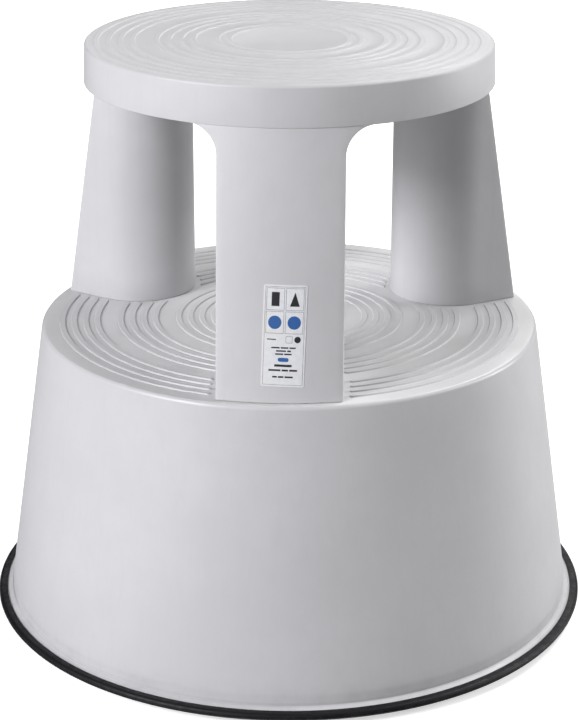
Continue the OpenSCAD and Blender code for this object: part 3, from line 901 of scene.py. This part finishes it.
def ring_rubber():
    """Black rubber, dusty on top and scuffed grey along its bulge."""
    g = Graph("ring_rubber", specular=0.22)
    radius, _ = g.radius_and_height()
    bulge = g.remap(radius, RING_R - 0.7, RING_R, 0, 1)
    rubbed = g.math("MULTIPLY", bulge, g.remap(g.noise(120, 4, 0.7), 0.42, 0.7, 0.0, 0.5))
    dust = g.remap(g.noise(45, 4, 0.6), 0.35, 0.75, 0.0, 0.3)
    colour = g.mix(dust, (0.0075, 0.0075, 0.0095), (0.020, 0.020, 0.022))
    colour = g.mix(rubbed, colour, (0.036, 0.036, 0.037))
    roughness = g.remap(g.noise(200, 3), 0.3, 0.7, 0.42, 0.60)
    normal = g.bump(g.noise(900, 3, 0.6), 0.00004)
    return g.finish(colour, roughness, normal)


def film(name, colour, roughness):
    """Printed or plain label film, a little uneven where it lies on the grained plastic."""
    g = Graph(name)
    patches = g.remap(g.noise(300, 3), 0.3, 0.7, 0, 1)
    shade_of = g.mix(patches, colour, tuple(c * 0.93 for c in colour))
    yellowed = g.remap(g.noise(35, 2), 0.45, 0.75, 0, 0.5)
    shade_of = g.mix(yellowed, shade_of, (colour[0] * 0.97, colour[1] * 0.95, colour[2] * 0.88))
    gloss = g.remap(g.noise(160, 3), 0.3, 0.7, roughness - 0.05, roughness + 0.08)
    return g.finish(shade_of, gloss, g.bump(g.noise(800, 2), 0.00002))


def zinc_plate():
    """Bright zinc with faint yellow and blue patches, drawing lines and fine pits."""
    g = Graph("zinc_plate", metallic=1.0)
    patches = g.noise(160, 3, 0.6)
    colour = g.mix(g.remap(patches, 0.35, 0.65), (0.60, 0.62, 0.66), (0.67, 0.65, 0.60))
    dull = g.remap(g.noise(420, 4, 0.7), 0.5, 0.75, 0, 0.5)
    colour = g.mix(dull, colour, (0.44, 0.44, 0.45))
    lines = g.noise(1, 2, 0.5, g.stretched((300, 300, 5200)))
    roughness = g.math("ADD", g.remap(lines, 0.3, 0.7, 0.24, 0.38), g.math("MULTIPLY", dull, 0.25))
    return g.finish(colour, roughness, g.bump(lines, 0.000012))


def oiled_wire():
    """Dark drawn steel wire with patches of oil."""
    g = Graph("oiled_wire", metallic=1.0)
    oil = g.remap(g.noise(260, 3, 0.6), 0.45, 0.6, 0, 1)
    colour = g.mix(oil, (0.34, 0.345, 0.36), (0.17, 0.155, 0.135))
    roughness = g.math("SUBTRACT", 0.42, g.math("MULTIPLY", oil, 0.2))
    return g.finish(colour, roughness, g.bump(g.noise(2200, 2), 0.00001))


def natural_nylon():
    """Off-white nylon with a waxy sheen and greyed patches of grease."""
    g = Graph("natural_nylon_moulded")
    grease = g.remap(g.noise(180, 4, 0.6), 0.5, 0.75, 0, 0.55)
    colour = g.mix(g.remap(g.noise(90, 2), 0.3, 0.7), (0.74, 0.71, 0.62), (0.69, 0.66, 0.57))
    colour = g.mix(grease, colour, (0.38, 0.36, 0.31))
    roughness = g.math("SUBTRACT", 0.46, g.math("MULTIPLY", grease, 0.25))
    g.shader.inputs["Subsurface Weight"].default_value = 0.12
    g.shader.inputs["Subsurface Scale"].default_value = 0.002
    return g.finish(colour, roughness, g.bump(g.noise(1500, 2), 0.00002))


def wheel_core():
    """Charcoal moulded wheel, dusty in its recesses."""
    g = Graph("wheel_core")
    dust = g.remap(g.noise(210, 4, 0.65), 0.42, 0.75, 0, 0.6)
    colour = g.mix(dust, (0.055, 0.056, 0.060), (0.150, 0.145, 0.140))
    roughness = g.math("ADD", 0.42, g.math("MULTIPLY", dust, 0.3))
    return g.finish(colour, roughness, g.bump(g.noise(1800, 2), 0.00003))


def wheel_tread():
    """Grey soft tread with floor dust and fine scratches round it."""
    g = Graph("wheel_tread", specular=0.4)
    dust = g.remap(g.noise(150, 4, 0.7), 0.4, 0.7, 0, 0.7)
    scratches = g.remap(g.noise(1, 3, 0.6, g.stretched((2400, 2400, 200))), 0.5, 0.7, 0, 0.5)
    colour = g.mix(dust, (0.135, 0.136, 0.142), (0.250, 0.240, 0.225))
    colour = g.mix(scratches, colour, (0.090, 0.090, 0.092))
    roughness = g.math("ADD", 0.5, g.math("MULTIPLY", dust, 0.25))
    return g.finish(colour, roughness, g.bump(g.noise(1100, 3), 0.00004))


GREY, RUBBER = moulded_grey(), ring_rubber()
FILM = film("label_white_film", (0.86, 0.875, 0.90), 0.34)
LINE_INK = film("label_line_ink", (0.30, 0.31, 0.34), 0.36)
DARK_INK = film("label_dark_ink", (0.035, 0.035, 0.040), 0.34)
BLUE_INK = film("label_blue_ink", (0.045, 0.145, 0.420), 0.34)
ZINC, WIRE, NYLON = zinc_plate(), oiled_wire(), natural_nylon()
CORE, TREAD = wheel_core(), wheel_tread()


# ---------------------------------------------------------------- pieces

def use(obj, material):
    """Gives an object one material."""
    obj.data.materials.clear()
    obj.data.materials.append(material)


def fit_piece(obj, material, slot, *nodes):
    """Finishes a new piece, which rides on the stool's body and may stand for CAD nodes."""
    use(obj, material)
    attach(obj, BODY)
    if nodes:
        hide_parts(*nodes)


fit_piece(build_base(), GREY, "grey_plastic", "base_moulding")
fit_piece(build_upper(), GREY, "grey_plastic", "upper_moulding")
fit_piece(build_ring(), RUBBER, "black_rubber", "bumper_ring")
fit_piece(build_label(), FILM, "label_film", "pillar_label")
for printed, ink in zip(build_label_print(), (LINE_INK, DARK_INK, BLUE_INK)):
    fit_piece(printed, ink, "label_film")

# Each spring wire stands for its CAD spring and gets a mesh of its own; the real spring is squeezed
# against the sleeve above it as the castor moves up
for side in CASTOR_ANGLES:
    spring = build_spring(side)
    fit_piece(spring, WIRE, "spring_steel", f"{side}_spring")
    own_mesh(spring)

FINISHES = {"pillar_screws": ZINC, "pillar_washers": ZINC, "guide_sleeve": NYLON, "stem": ZINC,
            "retaining_clip": WIRE, "thrust_washer": NYLON, "fork": ZINC, "axle": ZINC,
            "wheel": CORE, "tyre": TREAD}
for name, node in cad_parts.items():
    kind = name.split("_", 1)[1] if name.split("_")[0] in CASTOR_ANGLES else name
    if kind in FINISHES:
        use(node, FINISHES[kind])


# ---------------------------------------------------------------- stage

STAGE_CENTRE = Vector((0, 0, 0.22))


def add_floor():
    """A pale, even floor with a soft contact shadow, which isn't there when seen from below."""
    size = 8.0
    corners = [(-size, -size, 0), (size, -size, 0), (size, size, 0), (-size, size, 0)]
    mesh = bpy.data.meshes.new("floor")
    mesh.from_pydata(corners, [], [(0, 1, 2, 3)])
    floor = bpy.data.objects.new("floor", mesh)
    bpy.context.scene.collection.objects.link(floor)
    g = Graph("floor_white", specular=0.0)
    path = g.node("ShaderNodeLightPath").outputs
    seen = path["Is Camera Ray"]
    radius, _ = g.radius_and_height()
    glow = g.remap(radius, 600, 2000, 0.58, 1.0)
    g.put(g.shader.inputs["Emission Color"], (1, 1, 1, 1))
    g.put(g.shader.inputs["Emission Strength"], g.math("MULTIPLY", seen, glow))
    pale = g.mix(seen, (0.36, 0.36, 0.36), (0.80, 0.80, 0.805))
    floor.data.materials.append(g.finish(pale, 1.0))
    below = g.node("ShaderNodeNewGeometry").outputs["Backfacing"]
    clear = g.math("MAXIMUM", g.math("MULTIPLY", seen, below), path["Is Shadow Ray"])
    blend = g.node("ShaderNodeMixShader")
    surfaces = (clear, g.shader.outputs[0], g.node("ShaderNodeBsdfTransparent").outputs[0])
    for socket, value in zip(blend.inputs, surfaces):
        g.put(socket, value)
    g.put(g.tree.nodes["Material Output"].inputs["Surface"], blend.outputs[0])


def softbox(name, azimuth_deg, elevation_deg, power, distance=3.4, size=1.0, colour=(1, 1, 1)):
    """A square softbox aimed at the stool. Azimuth 0 is in front and 90 to the right."""
    data = bpy.data.lights.new(name, "AREA")
    data.shape = "SQUARE"
    data.size = size
    data.energy = power
    data.color = colour
    a, e = math.radians(azimuth_deg), math.radians(elevation_deg)
    towards = Vector((math.sin(a) * math.cos(e), -math.cos(a) * math.cos(e), math.sin(e)))
    light = bpy.data.objects.new(name, data)
    light.location = STAGE_CENTRE + distance * towards
    light.rotation_euler = (-towards).to_track_quat("-Z", "Y").to_euler()
    bpy.context.scene.collection.objects.link(light)


def add_lights():
    cool = (0.985, 0.975, 1.0)
    softbox("key_left", -60, 28, 34, colour=cool)
    softbox("key_front_left", -45, 28, 73.8, colour=cool)
    softbox("low_front_left", -45, 12, 18, colour=cool)
    softbox("right", 90, 25, 23.3)
    softbox("rim_low_right", 105, 8, 51.7)
    softbox("rim_high_right", 105, 60, 26.5)
    softbox("back_right", 135, 42, 43.6)
    softbox("back", 170, 25, 11.9)
    softbox("back_left", -165, 25, 4.6)
    # shows the castors to a viewer below the floor
    softbox("under", 0, -90, 6, distance=1.4, size=0.4)


def add_world():
    """A pale backdrop that the camera sees and that casts no light."""
    world = bpy.data.worlds.new("studio")
    world.use_nodes = True
    tree = world.node_tree
    background = tree.nodes["Background"]
    background.inputs["Color"].default_value = (1, 1, 1, 1)
    seen = tree.nodes.new("ShaderNodeLightPath").outputs["Is Camera Ray"]
    tree.links.new(seen, background.inputs["Strength"])
    bpy.context.scene.world = world


def add_camera():
    """The viewpoint of a long lens, a little above the stool and a little to its right."""
    distance, height = 1.467, 0.7388
    pitch, azimuth, roll = math.radians(20.745), math.radians(2.2), math.radians(0.1)
    aim = Euler((math.pi / 2 - pitch, 0, azimuth)).to_matrix() @ Matrix.Rotation(roll, 3, "Z")
    data = bpy.data.cameras.new("camera")
    data.lens = 105.2
    data.sensor_width = 36.0
    data.shift_x = 0.0006
    camera = bpy.data.objects.new("camera", data)
    camera.location = (distance * math.sin(azimuth), -distance * math.cos(azimuth), height)
    camera.rotation_euler = aim.to_euler()
    bpy.context.scene.collection.objects.link(camera)
    bpy.context.scene.camera = camera


add_floor()
add_lights()
add_world()
add_camera()
bpy.context.scene.view_settings.view_transform = "Standard"
